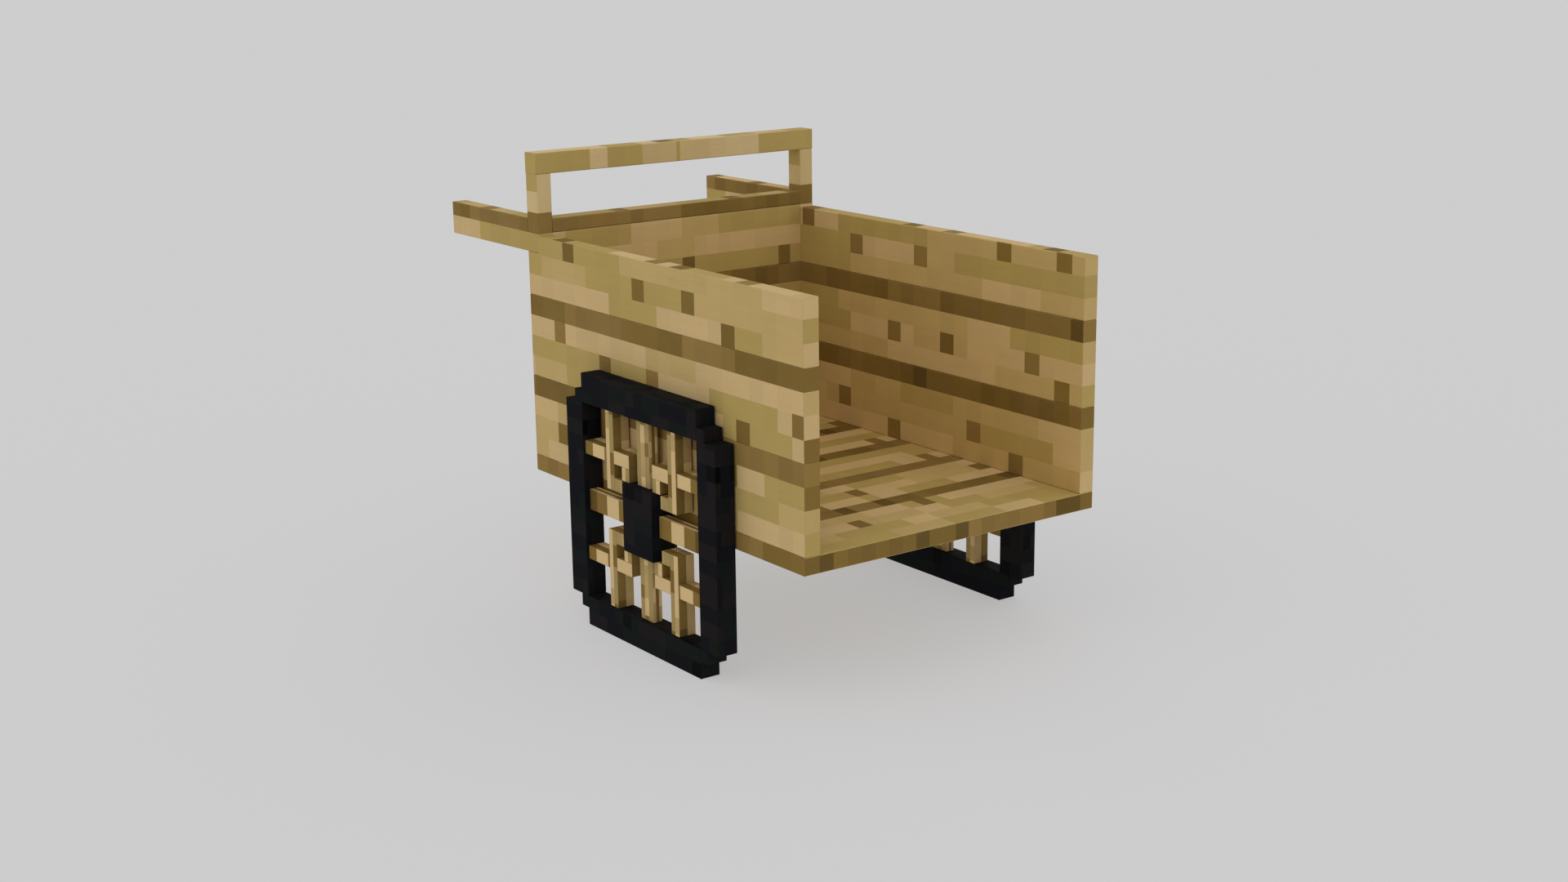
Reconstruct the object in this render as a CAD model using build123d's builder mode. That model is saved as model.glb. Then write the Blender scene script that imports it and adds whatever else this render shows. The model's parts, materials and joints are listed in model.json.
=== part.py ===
from build123d import *
import os

# Two-wheeled timber hand cart: an open-ended box on one axle, two carrying shafts at the
# rear corners, a push bar on two posts, and two wheels with timber lattice spokes.
# Millimetres. +X runs from the push bar to the open end, +Z is up, and the origin lies on
# the ground under the middle of the cart's length and width.

# Box
box_length = 1100.0          # outside, rear wall to open end
box_width = 820.0            # outside, across the side walls
wall_height = 544.0          # side walls above the floor
floor_thickness = 40.0
side_thickness = 40.0
rear_thickness = 50.0
board_width = 200.0          # stock width of the floor and wall boards
edge_break = 1.5             # chamfer along the long edges of sawn timber

# Shafts, rim beam, posts and push bar
shaft_reach = 380.0          # how far the shafts stand out behind the box
shaft_height = 80.0
shaft_drop = 40.0            # how far a shaft is let into the top of its side wall
beam_height = 33.0           # beam on top of the rear wall, flush with the shafts
handle_rise = 141.0          # foot of a post to the underside of the push bar
bar_height = 50.0

# Tenons of the posts
post_tenon_length = 24.0     # along X
post_tenon_width = 16.0      # along Y
post_tenon_depth = 30.0      # into the side wall below and into the push bar above
tenon_gap = 1.0              # glue space at the end of every tenon

# Dowels and screws
dowel_radius = 6.0
dowel_reach = 25.0           # into each of the two boards it joins
dowel_slack = 0.2
seam_margin = 100.0          # first dowel of a side wall seam from the end of the wall
side_dowel_count = 5
rear_dowel_count = 4
rear_dowel_inset = 100.0     # from a side wall to the first dowel of the rear wall
corner_dowel_inset = 45.0    # from the edge of a rear board to its corner dowel
screw_radius = 3.0
screw_head_radius = 6.0
screw_length = 80.0
screw_slack = 0.2
screw_slot = 1.2             # width and depth of the driver slot
screw_inset = 50.0           # from the edge of a floor board to its screw
rear_screw_count = 4
rear_screw_inset = 70.0      # from a side wall to the first screw of the rear wall

# Axle and its bed
axle_radius = 15.0
axle_seat_gap = 0.1
bed_width = 90.0
bed_depth = 45.0
bed_screw_offset = 32.0      # from the axle's centre line
bed_screw_count = 4
bed_screw_inset = 103.0      # from the end of the bed to its first screw
plate_thickness = 7.0        # iron thrust plate at each end of the bed
plate_screw_offset = 38.0    # from the axle's centre line, along X
plate_screw_drop = 22.0      # below the axle's centre line

# Wheels: stepped square rims, halved together at the corners
wheel_size = 612.0           # across the flats of the rim
wheel_gap = 4.0              # between side wall and rim
rim_thickness = 50.0
rim_width = 70.0
rim_shoulder = 29.0          # side of the square lap at each corner
lattice_thickness = 44.0
lattice_bar = 32.0           # width of the lattice arms
lattice_start = 48.0         # first edge of the lattice from the wheel's centre lines
lattice_relief = 1.0         # keeps two inner corners of a lattice piece from meeting
spoke_width = 50.0
spoke_thickness = 25.0
spoke_back = 15.0            # side wall to the back of a spoke
wheel_tenon_depth = 20.0
wheel_tenon_shoulder = 8.0   # shoulder on each side of a lattice tenon
spoke_tenon_width = 30.0
spoke_tenon_thickness = 15.0

# Hub, bush and what holds the wheel on
hub_length = 120.0           # along X
hub_height = 160.0
hub_front = 52.0             # side wall to the hub's outer face, under the cap
cap_thickness = 8.0
cap_spigot_depth = 6.0
cap_spigot_wall = 4.0
cap_fit = 0.1
recess_radius = 30.0
bush_radius = 20.0
bush_length = 30.0
bush_fit = 0.05
running_clearance = 0.05     # radial, bush on axle
washer_radius = 28.0
washer_thickness = 3.7
washer_fit = 0.2
end_play = 0.3
linch_pin_radius = 3.0
linch_pin_length = 50.0
linch_pin_fit = 0.1
linch_pin_gap = 0.5          # outer washer to linch pin
axle_overrun = 4.5           # axle beyond the linch pin

# Levels and stations worked out from the sizes above
half_width = box_width / 2
inner_half_width = half_width - side_thickness
x_rear = shaft_reach - (shaft_reach + box_length) / 2
x_front = x_rear + box_length
x_inner = x_rear + rear_thickness
x_post = x_rear + rear_thickness / 2
y_wall = half_width - side_thickness / 2
axle_x = x_rear + box_length / 2
axle_z = wheel_size / 2
floor_z = axle_z
floor_top = floor_z + floor_thickness
wall_top = floor_top + wall_height
shaft_bottom = wall_top - shaft_drop
shaft_top = shaft_bottom + shaft_height
rear_top = shaft_top - beam_height
bar_bottom = rear_top + handle_rise
bed_bottom = floor_z - bed_depth
bed_half_length = half_width - plate_thickness
rim_half = wheel_size / 2
rim_hole = rim_half - rim_width
lap = rim_hole + rim_shoulder
lattice_edges = [lattice_start + step * lattice_bar for step in range(4)]
bush_end = wheel_gap + bush_length
linch_pin_station = bush_end + end_play + washer_thickness + linch_pin_gap + linch_pin_radius
axle_half_length = half_width + linch_pin_station + linch_pin_radius + axle_overrun
sides = {"left": 1, "right": -1}

os.makedirs("parts", exist_ok=True)


def save(piece, name):
    piece.part.label = name
    export_step(piece.part, f"parts/{name}.step")


def board_spans(start, total, width):
    """Edges of full boards laid from start, where the last board takes what is left."""
    count = max(1, int(total / width + 0.5))
    edges = [start + step * width for step in range(count)] + [start + total]
    return list(zip(edges[:-1], edges[1:]))


def evenly(count, reach):
    """Stations at one pitch, the first and last of them that far from the middle."""
    return [reach * (2 * step / (count - 1) - 1) for step in range(count)]


def block(x_span, y_span, z_span, mode=Mode.ADD):
    """A box between the two values of each span."""
    middle = [(low + high) / 2 for low, high in (x_span, y_span, z_span)]
    lengths = [high - low for low, high in (x_span, y_span, z_span)]
    with Locations(tuple(middle)):
        Box(*lengths, mode=mode)


def break_edges(piece, axis):
    chamfer(piece.edges().filter_by(axis), length=edge_break)


def drill_screws(planes):
    with Locations(*planes):
        CounterSinkHole(
            radius=screw_radius + screw_slack,
            counter_sink_radius=screw_head_radius + screw_slack,
            depth=screw_length + screw_slack,
            counter_sink_angle=90,
        )


def drill_dowels(planes):
    """Both halves of each dowel hole; a plane's normal runs along its dowel."""
    with Locations(*planes):
        Cylinder(dowel_radius + dowel_slack, 2 * (dowel_reach + dowel_slack), mode=Mode.SUBTRACT)


def facing_down(x, y, z):
    return Plane(origin=(x, y, z), z_dir=(0, 0, -1))


# Where the boards meet
floor_spans = [(-high, -low) for low, high in reversed(board_spans(-x_front, box_length, board_width))]
side_spans = board_spans(floor_top, wall_height, board_width)
rear_spans = board_spans(floor_top, rear_top - floor_top, board_width)

# Dowels in the seams of the walls and under the rim beam
seam_dowels = {}
for side_name, side in sides.items():
    seam_dowels[side_name] = [
        Plane(origin=((x_rear + x_front) / 2 + x, side * y_wall, low), z_dir=(0, 0, 1))
        for low, high in side_spans[1:]
        for x in evenly(side_dowel_count, box_length / 2 - seam_margin)
    ]
rear_levels = [low for low, high in rear_spans[1:]] + [rear_top]
seam_dowels["rear"] = [
    Plane(origin=(x_post, y, level), z_dir=(0, 0, 1))
    for level in rear_levels
    for y in evenly(rear_dowel_count, inner_half_width - rear_dowel_inset)
]

# Dowels from the ends of the rear boards into the side walls
corner_levels = []
for low, high in rear_spans:
    corner_levels.append(low + corner_dowel_inset)
    if high < rear_top:
        corner_levels.append(high - corner_dowel_inset)
corner_dowels = {
    side_name: [Plane(origin=(x_post, side * inner_half_width, z), z_dir=(0, 1, 0)) for z in corner_levels]
    for side_name, side in sides.items()
}

# Screws from below: through the floor into the walls, and through the bed into the floor
# the board over the axle is held by the bed's screws there
clear_of_bed = bed_width / 2 + 2 * screw_head_radius
floor_screws = []
for low, high in floor_spans:
    stations = [low + screw_inset, high - screw_inset]
    if low <= x_rear:
        stations = [(x_inner + high) / 2]
    stations = [x for x in stations if abs(x - axle_x) > clear_of_bed]
    floor_screws += [facing_down(x, side * y_wall, floor_z) for x in stations for side in sides.values()]
rear_screw_stations = evenly(rear_screw_count, inner_half_width - rear_screw_inset)
floor_screws += [facing_down(x_post, y, floor_z) for y in rear_screw_stations]
bed_screws = [
    facing_down(axle_x + offset, y, bed_bottom)
    for offset in (-bed_screw_offset, bed_screw_offset)
    for y in evenly(bed_screw_count, bed_half_length - bed_screw_inset)
]
plate_screws = {
    side_name: [
        Plane(origin=(axle_x + offset, side * half_width, axle_z - plate_screw_drop), z_dir=(0, side, 0))
        for offset in (-plate_screw_offset, plate_screw_offset)
    ]
    for side_name, side in sides.items()
}


def cut_axle_seat():
    with Locations(Plane(origin=(axle_x, 0, axle_z), z_dir=(0, 1, 0))):
        Cylinder(axle_radius + axle_seat_gap, 2 * axle_half_length, mode=Mode.SUBTRACT)


def wall_span(side):
    """Faces of a side wall, which the shafts and posts share."""
    return (side * y_wall - side_thickness / 2, side * y_wall + side_thickness / 2)


def cut_shaft_seat(side):
    """Room for the shaft's end and for the tenon of the post that comes down through it."""
    block((x_rear, x_inner), wall_span(side), (shaft_bottom, shaft_top), mode=Mode.SUBTRACT)
    cut_post_tenon(side, shaft_bottom - post_tenon_depth, shaft_bottom)


def cut_post_tenon(side, low, high):
    block(
        (x_post - post_tenon_length / 2, x_post + post_tenon_length / 2),
        (side * y_wall - post_tenon_width / 2, side * y_wall + post_tenon_width / 2),
        (low - tenon_gap, high + tenon_gap),
        mode=Mode.SUBTRACT,
    )


# Floor boards run across the box, and the axle lies half in a groove on their underside
for number, (low, high) in enumerate(floor_spans, start=1):
    with BuildPart() as floor_board:
        block((low, high), (-half_width, half_width), (floor_z, floor_top))
        break_edges(floor_board, Axis.Y)
        drill_screws([plane for plane in floor_screws if low < plane.origin.X < high] + bed_screws)
        cut_axle_seat()
    save(floor_board, f"floor_board_{number}")

# Side wall boards stand on the floor
for side_name, side in sides.items():
    for number, (low, high) in enumerate(side_spans, start=1):
        with BuildPart() as side_board:
            block((x_rear, x_front), wall_span(side), (low, high))
            break_edges(side_board, Axis.X)
            drill_screws([plane for plane in floor_screws if plane.origin.Y * side > inner_half_width])
            drill_dowels(seam_dowels[side_name] + corner_dowels[side_name])
            cut_shaft_seat(side)
        save(side_board, f"{side_name}_wall_board_{number}")

# Rear wall boards stand between the side walls
for number, (low, high) in enumerate(rear_spans, start=1):
    with BuildPart() as rear_board:
        block((x_rear, x_inner), (-inner_half_width, inner_half_width), (low, high))
        break_edges(rear_board, Axis.Y)
        drill_screws([plane for plane in floor_screws if plane.origin.X < x_inner])
        drill_dowels(seam_dowels["rear"] + corner_dowels["left"] + corner_dowels["right"])
    save(rear_board, f"rear_wall_board_{number}")

# Rim beam across the top of the rear wall
with BuildPart() as rim_beam:
    block((x_rear, x_inner), (-inner_half_width, inner_half_width), (rear_top, shaft_top))
    break_edges(rim_beam, Axis.Y)
    drill_dowels(seam_dowels["rear"])
save(rim_beam, "rim_beam")

for side_name, side in sides.items():
    # Shaft, let into the wall, with a housing for the foot of the post
    with BuildPart() as shaft:
        block((x_rear - shaft_reach, x_inner), wall_span(side), (shaft_bottom, shaft_top))
        break_edges(shaft, Axis.X)
        block((x_rear, x_inner), wall_span(side), (rear_top, shaft_top), mode=Mode.SUBTRACT)
        cut_post_tenon(side, shaft_bottom, rear_top)
    save(shaft, f"{side_name}_shaft")

    # Post, with a tenon down through the shaft into the wall and one up into the push bar
    with BuildPart() as post:
        block((x_rear, x_inner), wall_span(side), (rear_top, bar_bottom))
        break_edges(post, Axis.Z)
        block(
            (x_post - post_tenon_length / 2, x_post + post_tenon_length / 2),
            (side * y_wall - post_tenon_width / 2, side * y_wall + post_tenon_width / 2),
            (shaft_bottom - post_tenon_depth, bar_bottom + post_tenon_depth),
        )
    save(post, f"{side_name}_post")

# Push bar across the posts
with BuildPart() as push_bar:
    block((x_rear, x_inner), (-half_width, half_width), (bar_bottom, bar_bottom + bar_height))
    break_edges(push_bar, Axis.Y)
    for side in sides.values():
        cut_post_tenon(side, bar_bottom, bar_bottom + post_tenon_depth)
save(push_bar, "push_bar")

# Axle bed under the floor, grooved for the lower half of the axle
with BuildPart() as axle_bed:
    bed_x = (axle_x - bed_width / 2, axle_x + bed_width / 2)
    block(bed_x, (-bed_half_length, bed_half_length), (bed_bottom, floor_z))
    break_edges(axle_bed, Axis.Y)
    drill_screws(bed_screws + plate_screws["left"] + plate_screws["right"])
    cut_axle_seat()
save(axle_bed, "axle_bed")

# Iron plates at the bed's ends take the thrust of the hubs
for side_name, side in sides.items():
    with BuildPart() as thrust_plate:
        plate_y = sorted((side * bed_half_length, side * half_width))
        plate_x = (axle_x - hub_length / 2, axle_x + hub_length / 2)
        block(plate_x, plate_y, (axle_z - hub_height / 2, axle_z))
        drill_screws(plate_screws[side_name])
        cut_axle_seat()
    save(thrust_plate, f"{side_name}_thrust_plate")

# Fixed axle, bored near its ends for the linch pins
with BuildPart() as axle:
    with BuildSketch(Plane.XZ.offset(-axle_half_length)):
        with Locations((axle_x, axle_z)):
            Circle(axle_radius)
    extrude(amount=2 * axle_half_length)
    chamfer(axle.edges().filter_by(GeomType.CIRCLE), length=edge_break)
    for side in sides.values():
        with Locations((axle_x, side * (half_width + linch_pin_station), axle_z)):
            Cylinder(linch_pin_radius + linch_pin_fit, linch_pin_length, mode=Mode.SUBTRACT)
save(axle, "axle")

with BuildPart() as linch_pins:
    for side in sides.values():
        with Locations((axle_x, side * (half_width + linch_pin_station), axle_z)):
            Cylinder(linch_pin_radius, linch_pin_length)
save(linch_pins, "linch_pins")

# One washer inside and one outside each hub
with BuildPart() as axle_washers:
    for side in sides.values():
        for station in (0, bush_end + end_play):
            with BuildSketch(Plane.XZ.offset(-side * (half_width + station))):
                with Locations((axle_x, axle_z)):
                    Circle(washer_radius)
                    Circle(axle_radius + washer_fit, mode=Mode.SUBTRACT)
            extrude(amount=-side * washer_thickness)
save(axle_washers, "axle_washers")

# Countersunk wood screws, all of one size, with a plain slot
all_screws = floor_screws + bed_screws + plate_screws["left"] + plate_screws["right"]
below_surface = (Align.CENTER, Align.CENTER, Align.MAX)
with BuildPart() as wood_screws:
    with Locations(*all_screws):
        Cylinder(screw_radius, screw_length, align=below_surface)
        Cone(screw_radius, screw_head_radius, screw_head_radius - screw_radius, align=below_surface)
        Box(2 * screw_head_radius, screw_slot, screw_slot, align=below_surface, mode=Mode.SUBTRACT)
save(wood_screws, "wood_screws")

# Dowels, all of one size
all_dowels = [plane for planes in (*seam_dowels.values(), *corner_dowels.values()) for plane in planes]
with BuildPart() as dowels:
    with Locations(*all_dowels):
        Cylinder(dowel_radius, 2 * dowel_reach)
save(dowels, "dowels")


def wheel_plane(side, station):
    """Upright plane that far out from the side wall, centred on the axle, normal outwards."""
    origin = (axle_x, side * (half_width + station), axle_z)
    return Plane(origin=origin, x_dir=(-side, 0, 0), z_dir=(0, side, 0))


def slab(side, back, front, centre, size, mode=Mode.ADD):
    """A box between two stations, centred at (X, Z) from the axle."""
    with Locations(wheel_plane(side, back)):
        with Locations((-side * centre[0], centre[1])):
            Box(*size, front - back, align=(Align.CENTER, Align.CENTER, Align.MIN), mode=mode)


def cut_wheel_tenons(side):
    """Mortises in rim and hub for every spoke and lattice tenon of a wheel."""
    for x, z in spoke_directions.values():
        spoke_tenon(side, x, z, tenon_gap, Mode.SUBTRACT)
    for x, z in quarters.values():
        lattice_tenons(side, x, z, tenon_gap, Mode.SUBTRACT)


def spoke_tenon(side, x, z, gap, mode):
    """The full length of a spoke's tenon, from inside the hub to inside the rim."""
    hub_edge = hub_length / 2 if x else hub_height / 2
    inner = hub_edge - wheel_tenon_depth - gap
    outer = rim_hole + wheel_tenon_depth + gap
    middle = (inner + outer) / 2
    size = (outer - inner, spoke_tenon_width) if x else (spoke_tenon_width, outer - inner)
    back = spoke_back + (spoke_thickness - spoke_tenon_thickness) / 2
    slab(side, back, back + spoke_tenon_thickness, (x * middle, z * middle), size, mode)


def lattice_tenons(side, x, z, gap, mode):
    """The two tenons of a lattice piece, into the two rim pieces beside it."""
    arm_middle = (lattice_edges[2] + lattice_edges[3]) / 2
    arm_width = lattice_bar - 2 * wheel_tenon_shoulder
    tenon_middle = rim_hole + (wheel_tenon_depth + gap) / 2
    tenon_length = wheel_tenon_depth + gap
    back = wheel_gap + wheel_tenon_shoulder
    front = wheel_gap + lattice_thickness - wheel_tenon_shoulder
    slab(side, back, front, (x * tenon_middle, z * arm_middle), (tenon_length, arm_width), mode)
    slab(side, back, front, (x * arm_middle, z * tenon_middle), (arm_width, tenon_length), mode)


quarters = {"upper_front": (1, 1), "upper_rear": (-1, 1), "lower_front": (1, -1), "lower_rear": (-1, -1)}
spoke_directions = {"top": (0, 1), "bottom": (0, -1), "front": (1, 0), "rear": (-1, 0)}
rim_middle = (rim_half + rim_hole) / 2
lap_middle = (rim_hole + lap) / 2
rim_front = wheel_gap + rim_thickness
lap_station = wheel_gap + rim_thickness / 2

for side_name, side in sides.items():
    # Rim: four pieces, the level ones lapping outside the upright ones at each corner
    for piece_name, (x, z) in spoke_directions.items():
        with BuildPart() as rim_piece:
            size = (rim_width, 2 * rim_hole) if x else (2 * rim_hole, rim_width)
            slab(side, wheel_gap, rim_front, (x * rim_middle, z * rim_middle), size)
            back, front = (wheel_gap, lap_station) if x else (lap_station, rim_front)
            for end in (-1, 1):
                centre = (x or end, z or end)
                lap_centre = (centre[0] * lap_middle, centre[1] * lap_middle)
                slab(side, back, front, lap_centre, (rim_shoulder, rim_shoulder))
            cut_wheel_tenons(side)
        save(rim_piece, f"{side_name}_rim_{piece_name}")

    # Spokes, tenoned into hub and rim
    for piece_name, (x, z) in spoke_directions.items():
        with BuildPart() as spoke:
            hub_edge = hub_length / 2 if x else hub_height / 2
            length = rim_hole - hub_edge
            middle = (rim_hole + hub_edge) / 2
            size = (length, spoke_width) if x else (spoke_width, length)
            slab(side, spoke_back, spoke_back + spoke_thickness, (x * middle, z * middle), size)
            spoke_tenon(side, x, z, 0, Mode.ADD)
        save(spoke, f"{side_name}_spoke_{piece_name}")

    # Lattice: two crossed arms in each quarter, tied by two short bars at their inner ends
    for piece_name, (x, z) in quarters.items():
        with BuildPart() as lattice:
            start, inner, outer, end = lattice_edges
            tie = lattice_bar - lattice_relief
            arm_middle = (outer + end) / 2
            tie_middle = start + tie / 2
            gap_middle = (inner + outer) / 2
            arm_reach = (start + rim_hole) / 2
            arm_length = rim_hole - start
            outline = [
                ((arm_middle, arm_reach), (lattice_bar, arm_length)),
                ((arm_reach, arm_middle), (arm_length, lattice_bar)),
                ((tie_middle, gap_middle), (tie, lattice_bar)),
                ((gap_middle, tie_middle), (lattice_bar, tie)),
            ]
            for centre, size in outline:
                bar_centre = (x * centre[0], z * centre[1])
                slab(side, wheel_gap, wheel_gap + lattice_thickness, bar_centre, size)
            lattice_tenons(side, x, z, 0, Mode.ADD)
        save(lattice, f"{side_name}_lattice_{piece_name}")

    # Hub block, bored for its bush and recessed for the outer washer and the linch pin
    with BuildPart() as hub:
        slab(side, wheel_gap, hub_front, (0, 0), (hub_length, hub_height))
        with BuildSketch(wheel_plane(side, wheel_gap)):
            Circle(bush_radius)
        extrude(amount=hub_front - wheel_gap, mode=Mode.SUBTRACT)
        with BuildSketch(wheel_plane(side, bush_end)):
            Circle(recess_radius)
        extrude(amount=hub_front - bush_end, mode=Mode.SUBTRACT)
        cut_wheel_tenons(side)
    save(hub, f"{side_name}_hub")

    with BuildPart() as bush:
        with BuildSketch(wheel_plane(side, wheel_gap)):
            Circle(bush_radius - bush_fit)
            Circle(axle_radius + running_clearance, mode=Mode.SUBTRACT)
        extrude(amount=bush_length)
    save(bush, f"{side_name}_bush")

    # Hub cap: a plate with a ring that presses into the recess
    with BuildPart() as hub_cap:
        slab(side, hub_front, hub_front + cap_thickness, (0, 0), (hub_length, hub_height))
        outer_face = hub_cap.faces().sort_by(Axis.Y)[-1 if side > 0 else 0]
        chamfer(outer_face.edges(), length=edge_break)
        with BuildSketch(wheel_plane(side, hub_front - cap_spigot_depth)):
            Circle(recess_radius - cap_fit)
            Circle(recess_radius - cap_spigot_wall, mode=Mode.SUBTRACT)
        extrude(amount=cap_spigot_depth)
    save(hub_cap, f"{side_name}_hub_cap")
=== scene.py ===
import json
import bpy
import bmesh
from math import cos, pi, sin
from mathutils import Matrix, Vector


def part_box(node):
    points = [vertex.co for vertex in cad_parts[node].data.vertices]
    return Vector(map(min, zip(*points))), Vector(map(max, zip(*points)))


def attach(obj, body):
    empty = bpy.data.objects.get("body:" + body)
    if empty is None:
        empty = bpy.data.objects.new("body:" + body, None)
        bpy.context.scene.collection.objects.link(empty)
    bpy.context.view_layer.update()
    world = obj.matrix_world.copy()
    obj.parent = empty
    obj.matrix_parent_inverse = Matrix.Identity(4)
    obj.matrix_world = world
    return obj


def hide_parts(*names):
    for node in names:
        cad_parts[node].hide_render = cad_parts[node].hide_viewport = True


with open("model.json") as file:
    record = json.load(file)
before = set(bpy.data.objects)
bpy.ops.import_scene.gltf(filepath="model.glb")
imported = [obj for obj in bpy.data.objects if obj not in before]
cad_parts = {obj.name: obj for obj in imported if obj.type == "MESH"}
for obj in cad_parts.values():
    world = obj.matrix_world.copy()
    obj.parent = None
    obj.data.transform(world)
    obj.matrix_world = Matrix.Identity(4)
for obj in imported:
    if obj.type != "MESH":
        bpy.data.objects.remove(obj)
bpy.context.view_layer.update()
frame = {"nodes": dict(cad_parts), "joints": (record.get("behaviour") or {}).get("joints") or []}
nodes = frame["nodes"]
axles = {joint["child"]: Vector(joint["pos_m"]) for joint in frame["joints"]}
sides = {"left": 1, "right": -1}
print("cart loaded:", len(nodes), "parts")


def addNode(tree, kind, **settings):
    node = tree.nodes.new(kind)
    for name, value in settings.items():
        setattr(node, name, value)
    return node


def feed(tree, socket, value):
    if isinstance(value, bpy.types.NodeSocket):
        tree.links.new(value, socket)
    elif value is not None:
        socket.default_value = value


def feedAll(tree, node, values):
    for label, value in values.items():
        feed(tree, node.inputs[label], value)


def calc(tree, operation, *values):
    node = addNode(tree, "ShaderNodeMath", operation=operation)
    for socket, value in zip(node.inputs, values):
        feed(tree, socket, value)
    return node.outputs[0]


def calcVector(tree, operation, *values):
    node = addNode(tree, "ShaderNodeVectorMath", operation=operation)
    for socket, value in zip(node.inputs, values):
        feed(tree, socket, value)
    return node.outputs["Value" if operation in ("DOT_PRODUCT", "LENGTH") else "Vector"]


def splitVector(tree, vector):
    node = addNode(tree, "ShaderNodeSeparateXYZ")
    feed(tree, node.inputs[0], vector)
    return node.outputs[0], node.outputs[1], node.outputs[2]


def joinVector(tree, *values):
    node = addNode(tree, "ShaderNodeCombineXYZ")
    for socket, value in zip(node.inputs, values):
        feed(tree, socket, value)
    return node.outputs[0]


def mixValue(tree, mask, low, high):
    node = addNode(tree, "ShaderNodeMix", data_type="FLOAT")
    for socket, value in zip((node.inputs[0], node.inputs[2], node.inputs[3]), (mask, low, high)):
        feed(tree, socket, value)
    return node.outputs[0]


def mixColour(tree, mask, low, high, blend="MIX"):
    node = addNode(tree, "ShaderNodeMix", data_type="RGBA", blend_type=blend)
    for socket, value in zip((node.inputs[0], node.inputs[6], node.inputs[7]), (mask, low, high)):
        feed(tree, socket, value)
    return node.outputs[2]


def newGroup(name, kind, inputs, outputs):
    tree = bpy.data.node_groups.new(name, kind)
    for label, socketType, value in inputs:
        socket = tree.interface.new_socket(label, in_out="INPUT", socket_type=socketType)
        if value is not None:
            socket.default_value = value
    for label, socketType in outputs:
        tree.interface.new_socket(label, in_out="OUTPUT", socket_type=socketType)
    return tree, tree.nodes.new("NodeGroupInput").outputs, tree.nodes.new("NodeGroupOutput").inputs


def placeGroup(tree, group, **values):
    node = addNode(tree, "ShaderNodeGroup", node_tree=group)
    feedAll(tree, node, values)
    return node.outputs


blockRule = dict(
    rowsPerBoard=4, knotRows=3,    # a knot stands in one of a board's light rows
    sameWhole=0.2,    # whole numbers closer than this are the same
    faceMark=(1.7, 3.1, 5.3), leftMark=11.3, knotMark=0.37,    # keep one face unlike another
    faceLane=91.7, rowLane=57.3,    # keep one row unlike another
)


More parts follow.
